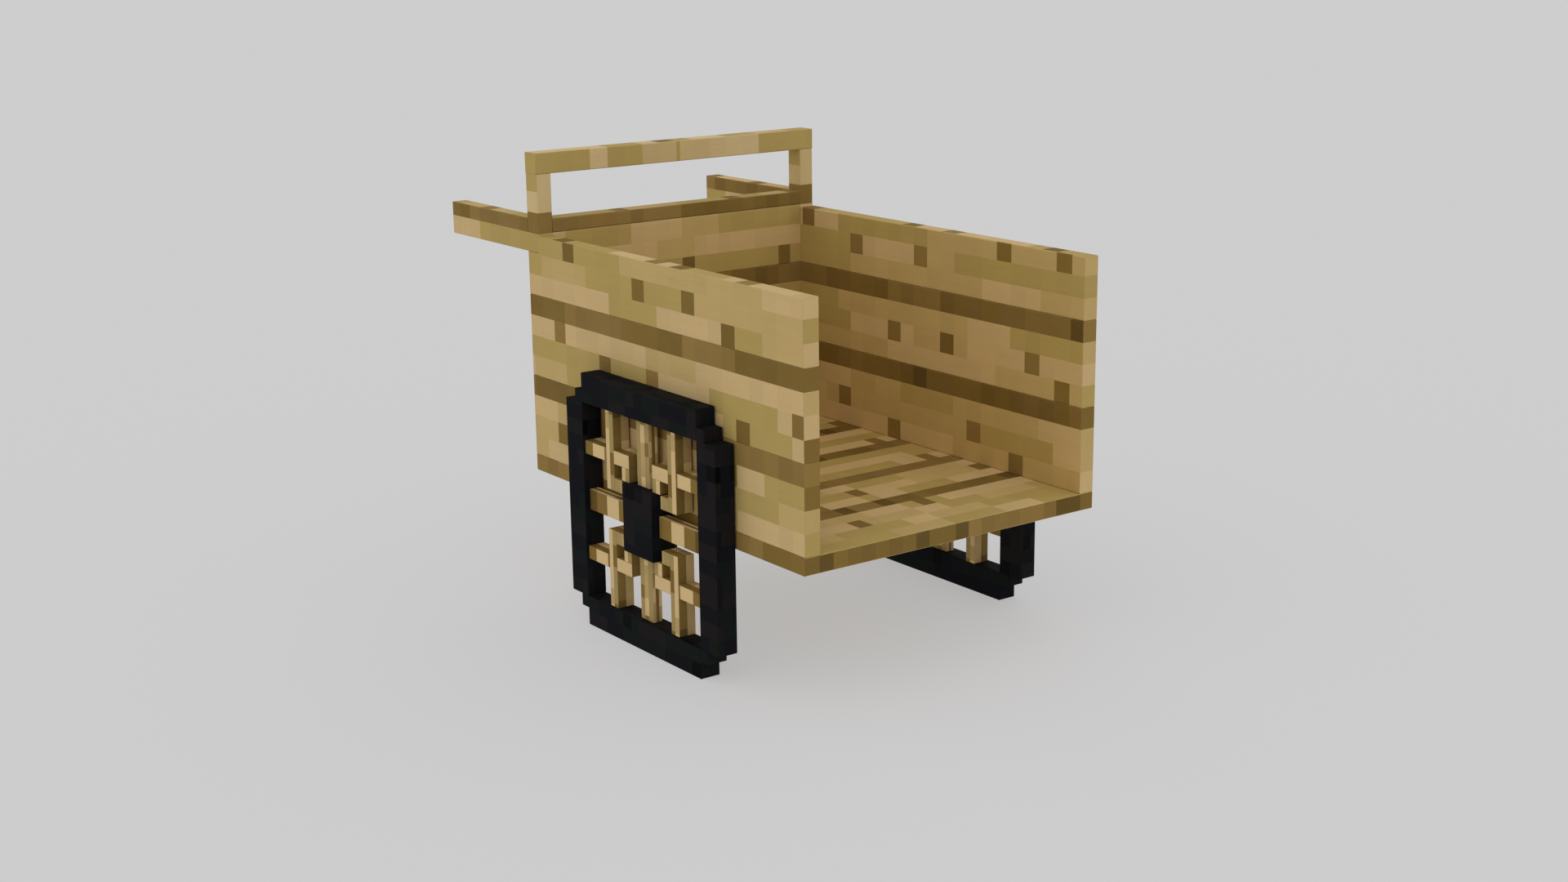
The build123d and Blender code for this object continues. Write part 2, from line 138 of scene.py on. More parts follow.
# Squares of different timber in straight rows, run by run, with a dark row between boards
def makeBlockRows():
    rule = blockRule
    tree, given, out = newGroup("blockRows", "ShaderNodeTree", [
        ("origin", "NodeSocketVector", (0, 0, 0)),
        ("cell", "NodeSocketVector", (0.05, 0.0373, 0.05)),
        ("facing", "NodeSocketVector", (0.62, 0.8, 0.62)),    # which way wins on a broken edge
        ("acrossTop", "NodeSocketFloat", 0),    # 1 where the rows of a level face run along Y
        ("darkRow", "NodeSocketFloat", 3),
        ("darkTopRow", "NodeSocketFloat", -1),
        ("lastDarkTopRow", "NodeSocketFloat", 1000),    # rows beyond it stay light
        ("knotGap", "NodeSocketFloat", 11),
        ("topKnotGap", "NodeSocketFloat", 5),
        ("runLength", "NodeSocketFloat", 3),
        ("seed", "NodeSocketFloat", 0),
    ], [("run", "NodeSocketFloat"), ("shade", "NodeSocketFloat"), ("dark", "NodeSocketFloat"),
        ("knot", "NodeSocketFloat")])
    spot = addNode(tree, "ShaderNodeTexCoord")
    facing = calcVector(tree, "MULTIPLY", spot.outputs["Normal"], given["facing"])
    facing = calcVector(tree, "FLOOR", calcVector(tree, "ADD", facing, (0.5, 0.5, 0.5)))
    faceParts = splitVector(tree, facing)
    atEnd = calc(tree, "ABSOLUTE", faceParts[0])
    level = calc(tree, "ABSOLUTE", faceParts[2])
    cells = calcVector(tree, "SUBTRACT", spot.outputs["Object"], given["origin"])
    cells = calcVector(tree, "FLOOR", calcVector(tree, "DIVIDE", cells, given["cell"]))
    cellX, cellY, cellZ = splitVector(tree, cells)

    upright = mixValue(tree, atEnd, cellX, cellY)
    column = mixValue(tree, level, upright, mixValue(tree, given["acrossTop"], cellX, cellY))
    row = mixValue(tree, level, cellZ, mixValue(tree, given["acrossTop"], cellY, cellX))
    leftSide = calc(tree, "GREATER_THAN", splitVector(tree, spot.outputs["Object"])[1], 0)
    face = calcVector(tree, "DOT_PRODUCT", facing, rule["faceMark"])
    face = calc(tree, "ADD", calc(tree, "MULTIPLY_ADD", leftSide, rule["leftMark"], face), given["seed"])

    lane = calc(tree, "MULTIPLY_ADD", face, rule["faceLane"], calc(tree, "MULTIPLY", row, rule["rowLane"]))
    along = addNode(tree, "ShaderNodeTexVoronoi", voronoi_dimensions="1D", feature="F1")
    runPlace = calc(tree, "ADD", calc(tree, "DIVIDE", column, given["runLength"]), lane)
    feedAll(tree, along, {"W": runPlace, "Scale": 1})
    feed(tree, out["run"], splitVector(tree, along.outputs["Color"])[0])

    each = addNode(tree, "ShaderNodeTexWhiteNoise", noise_dimensions="3D")
    feed(tree, each.inputs["Vector"], joinVector(tree, column, row, face))
    feed(tree, out["shade"], each.outputs["Value"])

    inBoard = calc(tree, "FLOORED_MODULO", row, rule["rowsPerBoard"])
    darkRow = mixValue(tree, level, given["darkRow"], given["darkTopRow"])
    dark = calc(tree, "COMPARE", inBoard, darkRow, rule["sameWhole"])
    beyond = calc(tree, "MULTIPLY", level, calc(tree, "GREATER_THAN", row, given["lastDarkTopRow"]))
    dark = calc(tree, "MULTIPLY", dark, calc(tree, "SUBTRACT", 1, beyond))
    feed(tree, out["dark"], dark)

    # one dark square to each board and stretch of columns
    gap = mixValue(tree, level, given["knotGap"], given["topKnotGap"])
    fromDark = calc(tree, "SUBTRACT", calc(tree, "SUBTRACT", row, darkRow), 1)
    board = calc(tree, "FLOOR", calc(tree, "DIVIDE", fromDark, rule["rowsPerBoard"]))
    start = addNode(tree, "ShaderNodeTexWhiteNoise", noise_dimensions="2D")
    feed(tree, start.inputs["Vector"], joinVector(tree, board, face, 0))
    shift = calc(tree, "FLOOR", calc(tree, "MULTIPLY", start.outputs["Value"], gap))
    shifted = calc(tree, "ADD", column, shift)
    stretch = calc(tree, "FLOOR", calc(tree, "DIVIDE", shifted, gap))
    chance = addNode(tree, "ShaderNodeTexWhiteNoise", noise_dimensions="3D")
    knotPlace = joinVector(tree, stretch, board, calc(tree, "ADD", face, rule["knotMark"]))
    feed(tree, chance.inputs["Vector"], knotPlace)
    chanceX, chanceY = splitVector(tree, chance.outputs["Color"])[:2]
    atColumn = calc(tree, "FLOOR", calc(tree, "MULTIPLY", chanceX, calc(tree, "SUBTRACT", gap, 1)))
    atColumn = calc(tree, "COMPARE", calc(tree, "FLOORED_MODULO", shifted, gap), atColumn, rule["sameWhole"])
    atRow = calc(tree, "FLOOR", calc(tree, "MULTIPLY", chanceY, rule["knotRows"]))
    lightRow = calc(tree, "FLOORED_MODULO", fromDark, rule["rowsPerBoard"])
    atRow = calc(tree, "COMPARE", lightRow, atRow, rule["sameWhole"])
    oneRow = calc(tree, "MULTIPLY", level, calc(tree, "LESS_THAN", given["darkTopRow"], 0))
    feed(tree, out["knot"], calc(tree, "MULTIPLY", atColumn, calc(tree, "MAXIMUM", atRow, oneRow)))
    return tree


toneShares = dict(tanAbove=0.36, paleAbove=0.6, umberAbove=0.5, lightSpread=0.07, darkSpread=0.26)


# Colour of one square from its run, its own shade, and the dark rows
def makeTimberTones():
    share = toneShares
    tree, given, out = newGroup("timberTones", "ShaderNodeTree", [
        ("run", "NodeSocketFloat", 0), ("shade", "NodeSocketFloat", 0), ("dark", "NodeSocketFloat", 0),
        ("knot", "NodeSocketFloat", 0),
        ("pale", "NodeSocketColor", (1, 1, 1, 1)), ("tan", "NodeSocketColor", (1, 1, 1, 1)),
        ("olive", "NodeSocketColor", (1, 1, 1, 1)), ("brown", "NodeSocketColor", (1, 1, 1, 1)),
        ("umber", "NodeSocketColor", (1, 1, 1, 1)), ("soot", "NodeSocketColor", (1, 1, 1, 1)),
        ("sootShare", "NodeSocketFloat", 0.04),
    ], [("colour", "NodeSocketColor")])

    def above(limit):
        return calc(tree, "GREATER_THAN", given["run"], limit)

    light = mixColour(tree, above(share["tanAbove"]), given["olive"], given["tan"])
    light = mixColour(tree, above(share["paleAbove"]), light, given["pale"])
    deep = mixColour(tree, above(share["umberAbove"]), given["brown"], given["umber"])
    deep = mixColour(tree, calc(tree, "LESS_THAN", given["shade"], given["sootShare"]), deep, given["soot"])
    darkest = calc(tree, "MAXIMUM", given["dark"], given["knot"])
    spread = mixValue(tree, darkest, share["lightSpread"], share["darkSpread"])
    fromMiddle = calc(tree, "SUBTRACT", given["shade"], 0.5)
    value = addNode(tree, "ShaderNodeHueSaturation")
    feedAll(tree, value, {"Value": calc(tree, "MULTIPLY_ADD", fromMiddle, spread, 1.0),
                          "Color": mixColour(tree, darkest, light, deep)})
    feed(tree, out["colour"], value.outputs[0])
    return tree


sawnSurface = dict(fineShare=0.45, poreDepth=0.35)


# Long fibres, pores and slow bands that run with the timber
def makeSawnGrain():
    tree, given, out = newGroup("sawnGrain", "ShaderNodeTree", [
        ("spot", "NodeSocketVector", (0, 0, 0)),
        ("stretch", "NodeSocketVector", (3, 60, 60)),
        ("offset", "NodeSocketFloat", 0),
    ], [("fibre", "NodeSocketFloat"), ("pores", "NodeSocketFloat"), ("height", "NodeSocketFloat")])
    moved = joinVector(tree, given["offset"], given["offset"], given["offset"])
    moved = calcVector(tree, "ADD", given["spot"], moved)
    place = calcVector(tree, "MULTIPLY", moved, given["stretch"])
    bands = addNode(tree, "ShaderNodeTexNoise")
    feedAll(tree, bands, {"Vector": place, "Scale": 1.0, "Detail": 5.0, "Roughness": 0.62, "Distortion": 0.5})
    fine = addNode(tree, "ShaderNodeTexNoise")
    feedAll(tree, fine, {"Vector": place, "Scale": 6.5, "Detail": 3.0, "Roughness": 0.7})
    pores = addNode(tree, "ShaderNodeMapRange")
    feedAll(tree, pores, {"Value": fine.outputs["Fac"], "From Min": 0.6, "From Max": 0.74})
    fibre = mixValue(tree, sawnSurface["fineShare"], bands.outputs["Fac"], fine.outputs["Fac"])
    sunk = calc(tree, "MULTIPLY", pores.outputs[0], sawnSurface["poreDepth"])
    feed(tree, out["fibre"], fibre)
    feed(tree, out["pores"], pores.outputs[0])
    feed(tree, out["height"], calc(tree, "SUBTRACT", fibre, sunk))
    return tree


# Where corners are rubbed, broken up so that the wear is patchy
def makeRubbedEdges():
    tree, given, out = newGroup("rubbedEdges", "ShaderNodeTree", [
        ("reach", "NodeSocketFloat", 0.003),
        ("patches", "NodeSocketFloat", 40),
    ], [("wear", "NodeSocketFloat"), ("normal", "NodeSocketVector")])
    rounded = addNode(tree, "ShaderNodeBevel", samples=4)
    feed(tree, rounded.inputs["Radius"], given["reach"])
    flat = addNode(tree, "ShaderNodeNewGeometry")
    turn = calcVector(tree, "DOT_PRODUCT", rounded.outputs[0], flat.outputs["Normal"])
    spot = addNode(tree, "ShaderNodeTexCoord")
    patchy = addNode(tree, "ShaderNodeTexNoise")
    feedAll(tree, patchy, {"Vector": spot.outputs["Object"], "Scale": given["patches"], "Detail": 4.0})
    rub = addNode(tree, "ShaderNodeMapRange")
    feedAll(tree, rub, {"Value": turn, "From Min": 0.995, "From Max": 0.86})
    lift = addNode(tree, "ShaderNodeMapRange")
    feedAll(tree, lift, {"Value": patchy.outputs["Fac"], "From Min": 0.42, "From Max": 0.62})
    feed(tree, out["wear"], calc(tree, "MULTIPLY", rub.outputs[0], lift.outputs[0]))
    feed(tree, out["normal"], rounded.outputs[0])
    return tree


# Slow clouds over a whole surface: dust, handling and weather
def makeSoftDust():
    tree, given, out = newGroup("softDust", "ShaderNodeTree", [
        ("size", "NodeSocketFloat", 7), ("from", "NodeSocketFloat", 0.45), ("to", "NodeSocketFloat", 0.75),
    ], [("dust", "NodeSocketFloat")])
    spot = addNode(tree, "ShaderNodeTexCoord")
    clouds = addNode(tree, "ShaderNodeTexNoise")
    feedAll(tree, clouds, {"Vector": spot.outputs["Object"], "Scale": given["size"], "Detail": 6.0,
                           "Roughness": 0.6})
    spread = addNode(tree, "ShaderNodeMapRange")
    feedAll(tree, spread, {"Value": clouds.outputs["Fac"], "From Min": given["from"],
                           "From Max": given["to"]})
    feed(tree, out["dust"], spread.outputs[0])
    return tree


# Painted shade for the inside of the box: colours multiplied into the boards and the dark rows, fading up the
# walls and towards the open end
paintedShade = dict(
    board=(0.99, 0.94, 0.80, 1), seam=(0.86, 0.80, 0.66, 1), fadeUpWalls=0.55, fadeAlongFloor=1.3,
    lookAhead=0.005,    # a face is inside the box if a point this far before it is
)


# Painted shade inside the box: browner and darker, most of all low down and away from the open end
def makeInsideShade():
    tree, given, out = newGroup("insideShade", "ShaderNodeTree", [
        ("low", "NodeSocketVector", (0, 0, 0)), ("high", "NodeSocketVector", (1, 1, 1)),
    ], [("paintedShade", "NodeSocketFloat")])
    spot = addNode(tree, "ShaderNodeTexCoord")
    ahead = calcVector(tree, "MULTIPLY", spot.outputs["Normal"], (paintedShade["lookAhead"],) * 3)
    ahead = calcVector(tree, "ADD", spot.outputs["Object"], ahead)
    share = calcVector(tree, "SUBTRACT", ahead, given["low"])
    share = calcVector(tree, "DIVIDE", share, calcVector(tree, "SUBTRACT", given["high"], given["low"]))
    alongBox, acrossBox, upBox = splitVector(tree, share)
    within = calc(tree, "COMPARE", acrossBox, 0.5, 0.5)
    within = calc(tree, "MULTIPLY", within, calc(tree, "COMPARE", upBox, 0.5, 0.5))
    within = calc(tree, "MULTIPLY", within, calc(tree, "GREATER_THAN", alongBox, 0))
    upright = calc(tree, "SUBTRACT", 1, calc(tree, "ABSOLUTE", splitVector(tree, spot.outputs["Normal"])[2]))
    onWall = calc(tree, "MULTIPLY_ADD", upBox, -paintedShade["fadeUpWalls"], 1.0)
    onFloor = calc(tree, "MULTIPLY_ADD", alongBox, -paintedShade["fadeAlongFloor"], paintedShade["fadeAlongFloor"])
    feed(tree, out["paintedShade"], calc(tree, "MULTIPLY", within, mixValue(tree, upright, onFloor, onWall)))
    return tree


blockRows = makeBlockRows()
timberTones = makeTimberTones()
sawnGrain = makeSawnGrain()
rubbedEdges = makeRubbedEdges()
softDust = makeSoftDust()
insideShade = makeInsideShade()
print("shader groups built")


oakTones = dict(
    pale=(0.618, 0.438, 0.204, 1), tan=(0.546, 0.386, 0.153, 1), olive=(0.464, 0.335, 0.109, 1),
    brown=(0.220, 0.137, 0.031, 1), umber=(0.273, 0.171, 0.047, 1), soot=(0.160, 0.096, 0.022, 1),
)
blackTones = dict(
    pale=(0.0128, 0.0112, 0.0112, 1), tan=(0.0072, 0.0104, 0.0092, 1), olive=(0.0068, 0.0072, 0.0100, 1),
    brown=(0.0044, 0.0038, 0.0040, 1), umber=(0.0068, 0.0072, 0.0084, 1), soot=(0.0028, 0.0028, 0.0028, 1),
)


grainJump = 5.0    # metres of grain that the runs are spread over


def newMaterial(name, specular):
    material = bpy.data.materials.new(name)
    material.use_nodes = True
    shader = material.node_tree.nodes["Principled BSDF"]
    shader.inputs["Specular IOR Level"].default_value = specular
    return material, material.node_tree, shader


def addBump(tree, shader, strength, depth, height, normal):
    bump = addNode(tree, "ShaderNodeBump")
    feedAll(tree, bump, {"Strength": strength, "Distance": depth, "Height": height, "Normal": normal})
    feed(tree, shader.inputs["Normal"], bump.outputs[0])


def finishTimber(tree, shader, colour, grain, finish):
    edges = placeGroup(tree, rubbedEdges, reach=finish["edgeReach"], patches=finish["edgePatches"])
    dust = placeGroup(tree, softDust, size=finish["dustSize"])["dust"]
    streak = calc(tree, "MULTIPLY_ADD", grain["fibre"], finish["grain"], 1 - finish["grain"] / 2)
    colour = mixColour(tree, 1.0, colour, joinVector(tree, streak, streak, streak), "MULTIPLY")
    pores = calc(tree, "MULTIPLY", grain["pores"], finish["pores"])
    colour = mixColour(tree, pores, colour, finish["poreColour"])
    dusty = calc(tree, "MULTIPLY", dust, finish["dust"])
    colour = mixColour(tree, dusty, colour, finish["dustColour"])
    worn = calc(tree, "MULTIPLY", edges["wear"], finish["wear"])
    colour = mixColour(tree, worn, colour, finish["wornColour"])
    feed(tree, shader.inputs["Base Color"], colour)
    rough = calc(tree, "MULTIPLY_ADD", grain["fibre"], finish["fibreRoughness"], finish["roughness"])
    rough = calc(tree, "MULTIPLY_ADD", dust, finish["dustRoughness"], rough)
    feed(tree, shader.inputs["Roughness"], rough)
    addBump(tree, shader, finish["bump"], finish["bumpDepth"], grain["height"], edges["normal"])


oakFinish = dict(
    edgeReach=0.0022, edgePatches=38.0, wear=0.30, wornColour=(0.66, 0.48, 0.245, 1),
    grain=0.22, pores=0.22, poreColour=(0.18, 0.11, 0.036, 1),
    dustSize=6.0, dust=0.05, dustColour=(0.53, 0.44, 0.28, 1),
    roughness=0.70, fibreRoughness=0.16, dustRoughness=0.06, bump=0.35, bumpDepth=0.0006,
)
tarFinish = dict(
    edgeReach=0.0025, edgePatches=30.0, wear=0.35, wornColour=(0.029, 0.025, 0.024, 1),
    grain=0.5, pores=0.35, poreColour=(0.004, 0.004, 0.005, 1),
    dustSize=9.0, dust=0.03, dustColour=(0.055, 0.050, 0.042, 1),
    roughness=0.62, fibreRoughness=0.16, dustRoughness=0.06, bump=0.5, bumpDepth=0.0006,
)


floorLow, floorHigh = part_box("floor_board_1")
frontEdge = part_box("floor_board_6")[1]
insideBox = dict(low=(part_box("rear_wall_board_1")[1].x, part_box("right_wall_board_1")[1].y, floorHigh.z),
                 high=(frontEdge.x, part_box("left_wall_board_1")[0].y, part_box("left_wall_board_3")[1].z))


def blockTimber(name, rows, stretch, tones=oakTones, finish=oakFinish, specular=0.1, inside=insideBox):
    material, tree, shader = newMaterial(name, specular)
    cells = placeGroup(tree, blockRows, **rows)
    colour = placeGroup(tree, timberTones, run=cells["run"], shade=cells["shade"], dark=cells["dark"],
                        knot=cells["knot"], **tones)["colour"]
    # painted shade inside the box, multiplied into the colour and darker on the dark rows
    if inside:
        shadedTone = mixColour(tree, cells["dark"], paintedShade["board"], paintedShade["seam"])
        shadedTone = mixColour(tree, 1.0, colour, shadedTone, "MULTIPLY")
        colour = mixColour(tree, placeGroup(tree, insideShade, **inside)["paintedShade"], colour, shadedTone)
    spot = addNode(tree, "ShaderNodeTexCoord").outputs["Object"]
    offset = calc(tree, "MULTIPLY", cells["run"], grainJump)
    grain = placeGroup(tree, sawnGrain, spot=spot, stretch=stretch, offset=offset)
    finishTimber(tree, shader, colour, grain, finish)
    return material


floorTop = floorHigh.z
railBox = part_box("push_bar")
hairline = 0.0004    # keeps a face from lying exactly on the edge of a square
square, crossSquare, handleSquare = 0.05, 0.03727, 0.06    # most faces, across the cart, on the handle
wallSquare, wallEdge = 0.1, -0.44    # squares this wide, counted from this edge, hold each wall whole
noKnots = 40    # a gap longer than the piece
# the way marked 0.8 wins where an edge is broken
facesAlong, facesAcross, facesUp = (0.8, 0.62, 0.62), (0.62, 0.8, 0.62), (0.62, 0.62, 0.8)

wallRows = dict(origin=(floorLow.x + 0.010, wallEdge, floorTop), cell=(square, wallSquare, square),
                facing=facesAcross, darkRow=3, knotGap=5, topKnotGap=5, runLength=4.4, seed=2)
rearRows = dict(origin=(floorLow.x, floorLow.y, floorTop), cell=(square, crossSquare, square),
                facing=facesAlong, acrossTop=1, darkRow=3, knotGap=6, topKnotGap=5, runLength=4.4, seed=31)
floorRows = dict(origin=(floorLow.x + hairline, floorLow.y, floorTop), cell=(square, crossSquare, square),
                 facing=facesUp, acrossTop=1, darkRow=3, darkTopRow=1, lastDarkTopRow=20,
                 knotGap=7, topKnotGap=8, runLength=4.0, seed=47)
shaftRows = dict(wallRows, topKnotGap=4, seed=5)
postRows = dict(wallRows, origin=(floorLow.x - 0.004, wallEdge, floorTop),
                cell=(handleSquare, wallSquare, square), knotGap=noKnots, runLength=1.2, seed=9)
barRows = dict(rearRows, origin=(floorLow.x - 0.005, floorLow.y, railBox[0].z - 0.004),
               cell=(handleSquare, square, handleSquare), knotGap=noKnots, topKnotGap=19,
               runLength=1.9, seed=63)
alongX, alongY, alongZ = (2.5, 60, 60), (60, 2.5, 60), (60, 60, 2.5)

wallTimber = blockTimber("wallTimber", wallRows, alongX)
rearTimber = blockTimber("rearTimber", rearRows, alongY)
floorTimber = blockTimber("floorTimber", floorRows, alongY, dict(oakTones, sootShare=0.12))
shaftTimber = blockTimber("shaftTimber", shaftRows, alongX)
handledOak = dict(oakTones, pale=(0.659, 0.495, 0.248, 1), tan=(0.600, 0.440, 0.204, 1))    # paler from hands
postTimber = blockTimber("postTimber", postRows, alongZ, handledOak)
barTimber = blockTimber("barTimber", barRows, alongY, handledOak)
bedTones = dict(
    pale=(0.277, 0.173, 0.062, 1), tan=(0.248, 0.155, 0.051, 1), olive=(0.215, 0.142, 0.044, 1),
    brown=(0.155, 0.095, 0.029, 1), umber=(0.175, 0.106, 0.036, 1), soot=(0.127, 0.076, 0.022, 1),
)
bedTimber = blockTimber("bedTimber", dict(rearRows, seed=80, darkRow=1, knotGap=12), alongY, bedTones)
blackRows = dict(origin=(0.0, 0.0, 0.0), cell=(0.0355, 0.025, 0.0355), darkRow=-1, knotGap=6, topKnotGap=6,
                 runLength=2.2, seed=17)
blackTimber = blockTimber("blackTimber", blackRows, stretch=(30, 30, 6), tones=blackTones, finish=tarFinish,
                          specular=0.03, inside=None)


stripLook = dict(
    length=0.042, knotsAbove=0.82, frontAbove=0.6,    # frontAbove: how squarely a face must look along Y
    laneGap=31.7, layerGap=7.7, layerStart=3.1,    # keep strips and layers unlike
    lastStrip=4,    # numbers beyond it mean squares in place of strips
    darkLayer=1, sameWhole=0.2, nudge=0.0001,    # the nudge keeps the ends of a bar in their own strip
    sideSpread=0.5, sideStart=0.42, seamSpread=0.45,    # how far the tones of sides and seams range
    grainStretch=(1.8, 4, 1.4), edgeReach=0.0016, grain=0.26,
    pale=(0.677, 0.488, 0.237, 1), tan=(0.488, 0.339, 0.146, 1), olive=(0.371, 0.269, 0.102, 1),
)


# Strips of timber glued side by side, read from each bar's own space
def stripTimber():
    look = stripLook
    tones = dict(oakTones, pale=look["pale"], tan=look["tan"], olive=look["olive"])
    material, tree, shader = newMaterial("stripTimber", specular=0.1)
    own = addNode(tree, "ShaderNodeAttribute", attribute_name="barSpace").outputs["Vector"]
    across, along, depth = splitVector(tree, own)
    facing = splitVector(tree, addNode(tree, "ShaderNodeTexCoord").outputs["Normal"])[1]
    onFace = calc(tree, "GREATER_THAN", calc(tree, "ABSOLUTE", facing), look["frontAbove"])
    strip = calc(tree, "FLOOR", calc(tree, "ADD", across, look["nudge"]))
    layer = calc(tree, "FLOOR", calc(tree, "SUBTRACT", depth, look["nudge"]))
    sideLane = calc(tree, "MULTIPLY_ADD", layer, look["layerGap"], look["layerStart"])
    lane = mixValue(tree, onFace, sideLane, strip)
    step = calc(tree, "DIVIDE", along, look["length"])
    piece = addNode(tree, "ShaderNodeTexVoronoi", voronoi_dimensions="1D", feature="F1")
    feedAll(tree, piece, {"Scale": 1, "W": calc(tree, "MULTIPLY_ADD", lane, look["laneGap"], step)})
    random, second, third = splitVector(tree, piece.outputs["Color"])
    bright = calc(tree, "FLOORED_MODULO", strip, 2)
    striped = calc(tree, "MULTIPLY", calc(tree, "ADD", bright, random), 0.5)
    squares = calc(tree, "GREATER_THAN", strip, look["lastStrip"])
    onSide = calc(tree, "MULTIPLY_ADD", random, look["sideSpread"], look["sideStart"])
    run = mixValue(tree, onFace, onSide, mixValue(tree, squares, striped, random))
    inSeam = calc(tree, "COMPARE", layer, look["darkLayer"], look["sameWhole"])
    inSeam = calc(tree, "MULTIPLY", calc(tree, "SUBTRACT", 1, onFace), inSeam)
    run = mixValue(tree, inSeam, run, calc(tree, "MULTIPLY", random, look["seamSpread"]))
    knot = calc(tree, "MULTIPLY", onFace, calc(tree, "GREATER_THAN", third, look["knotsAbove"]))
    colour = placeGroup(tree, timberTones, run=run, shade=second, dark=inSeam, knot=knot, **tones)["colour"]
    grain = placeGroup(tree, sawnGrain, spot=own, stretch=look["grainStretch"], offset=random)
    finish = dict(oakFinish, edgeReach=look["edgeReach"], grain=look["grain"])
    finishTimber(tree, shader, colour, grain, finish)
    return material


metalFinish = dict(
    edgeReach=0.0012, edgePatches=90.0, wear=0.7, dustSize=34.0, dust=0.55, dustShade=0.55, dustDulls=0.25,
    scratchRoughness=0.25, bump=0.25, bumpDepth=0.0003,
)


def bareMetal(name, colour, worn, roughness, scratches):
    finish = metalFinish
    material, tree, shader = newMaterial(name, specular=0.5)
    spot = addNode(tree, "ShaderNodeTexCoord").outputs["Object"]
    edges = placeGroup(tree, rubbedEdges, reach=finish["edgeReach"], patches=finish["edgePatches"])
    dust = placeGroup(tree, softDust, size=finish["dustSize"])["dust"]
    lines = placeGroup(tree, sawnGrain, spot=spot, stretch=scratches)
    dulled = tuple(channel * finish["dustShade"] for channel in colour[:3]) + (1,)
    tone = mixColour(tree, calc(tree, "MULTIPLY", dust, finish["dust"]), colour, dulled)
    tone = mixColour(tree, calc(tree, "MULTIPLY", edges["wear"], finish["wear"]), tone, worn)
    rough = calc(tree, "MULTIPLY_ADD", lines["fibre"], finish["scratchRoughness"], roughness)
    feed(tree, shader.inputs["Base Color"], tone)
    feed(tree, shader.inputs["Metallic"], calc(tree, "MULTIPLY_ADD", dust, -finish["dustDulls"], 1.0))
    feed(tree, shader.inputs["Roughness"], rough)
    addBump(tree, shader, finish["bump"], finish["bumpDepth"], lines["height"], edges["normal"])
    return material


stripOak = stripTimber()
blackIron = bareMetal("blackIron", (0.030, 0.030, 0.033, 1), (0.16, 0.155, 0.15, 1), 0.42, (90, 90, 90))
bareSteel = bareMetal("bareSteel", (0.42, 0.41, 0.39, 1), (0.62, 0.61, 0.58, 1), 0.26, (260, 6, 260))
turnedBrass = bareMetal("turnedBrass", (0.62, 0.44, 0.17, 1), (0.80, 0.64, 0.33, 1), 0.24, (260, 6, 260))
print("materials built")


barGap = 1.37    # metres of grain between one bar and the next
firstSquare = 5.0    # a bar of one strip shows squares, as stripTimber reads numbers beyond lastStrip


# One squared bar, its fibres along "z" or "x"; barSpace is in strips, metres and layers
def barPiece(tree, size, centre, grainAlong, number, outward=1.0, strips=2.0, layers=2.0):
    cube = addNode(tree, "GeometryNodeMeshCube")
    feed(tree, cube.inputs["Size"], joinVector(tree, *size))
    x, y, z = splitVector(tree, addNode(tree, "GeometryNodeInputPosition").outputs[0])
    across, along, width = (x, z, size[0]) if grainAlong == "z" else (z, x, size[2])
    across = calc(tree, "MULTIPLY", calc(tree, "ADD", calc(tree, "DIVIDE", across, width), 0.5), strips)
    across = calc(tree, "ADD", across, firstSquare if strips == 1.0 else 0.0)
    depth = calc(tree, "DIVIDE", calc(tree, "MULTIPLY", y, outward), size[1])
    depth = calc(tree, "MULTIPLY", calc(tree, "ADD", depth, 0.5), layers)
    own = joinVector(tree, across, calc(tree, "ADD", along, number * barGap), depth)
    keep = addNode(tree, "GeometryNodeStoreNamedAttribute", data_type="FLOAT_VECTOR", domain="POINT")
    feedAll(tree, keep, {"Geometry": cube.outputs[0], "Name": "barSpace", "Value": own})
    place = addNode(tree, "GeometryNodeTransform")
    feedAll(tree, place, {"Geometry": keep.outputs[0], "Translation": joinVector(tree, *centre)})
    return place.outputs[0]


def joinAll(tree, parts):
    node = addNode(tree, "GeometryNodeJoinGeometry")
    for part in reversed(parts):
        tree.links.new(part, node.inputs[0])
    return node.outputs[0]


def turned(tree, shape, rotation=(0, 0, 0), scale=(1, 1, 1)):
    node = addNode(tree, "GeometryNodeTransform")
    feedAll(tree, node, {"Geometry": shape, "Rotation": rotation, "Scale": scale})
    if scale[0] * scale[1] * scale[2] > 0:
        return node.outputs[0]
    flip = addNode(tree, "GeometryNodeFlipFaces")
    feed(tree, flip.inputs[0], node.outputs[0])
    return flip.outputs[0]


def closeTree(tree, shape, out, given):
    move = addNode(tree, "GeometryNodeTransform")
    feedAll(tree, move, {"Geometry": shape, "Translation": given["centre"]})
    real = addNode(tree, "GeometryNodeRealizeInstances")
    feed(tree, real.inputs[0], move.outputs[0])
    paint = addNode(tree, "GeometryNodeSetMaterial")
    feedAll(tree, paint, {"Geometry": real.outputs[0], "Material": given["finish"]})
    feed(tree, out["shape"], paint.outputs[0])


def oneFinish(piece, material):
    piece.data.materials.clear()
    piece.data.materials.append(material)
    for face in piece.data.polygons:
        face.material_index = 0


# Runs a tree on an empty or given mesh and keeps the result as a plain mesh
def growPiece(name, tree, values, start=None):
    piece = bpy.data.objects.new(name, start or bpy.data.meshes.new(name))
    bpy.context.scene.collection.objects.link(piece)
    modifier = piece.modifiers.new("grow", "NODES")
    modifier.node_group = tree
    for item in tree.interface.items_tree:
        if item.item_type == "SOCKET" and item.in_out == "INPUT" and item.name in values:
            modifier[item.identifier] = values[item.name]
    graph = bpy.context.evaluated_depsgraph_get()
    shaped = piece.evaluated_get(graph)
    grown = bpy.data.meshes.new_from_object(shaped, preserve_all_data_layers=True, depsgraph=graph)
    piece.modifiers.remove(modifier)
    piece.data = grown
    grown.name = name
    oneFinish(piece, values["finish"])
    return piece


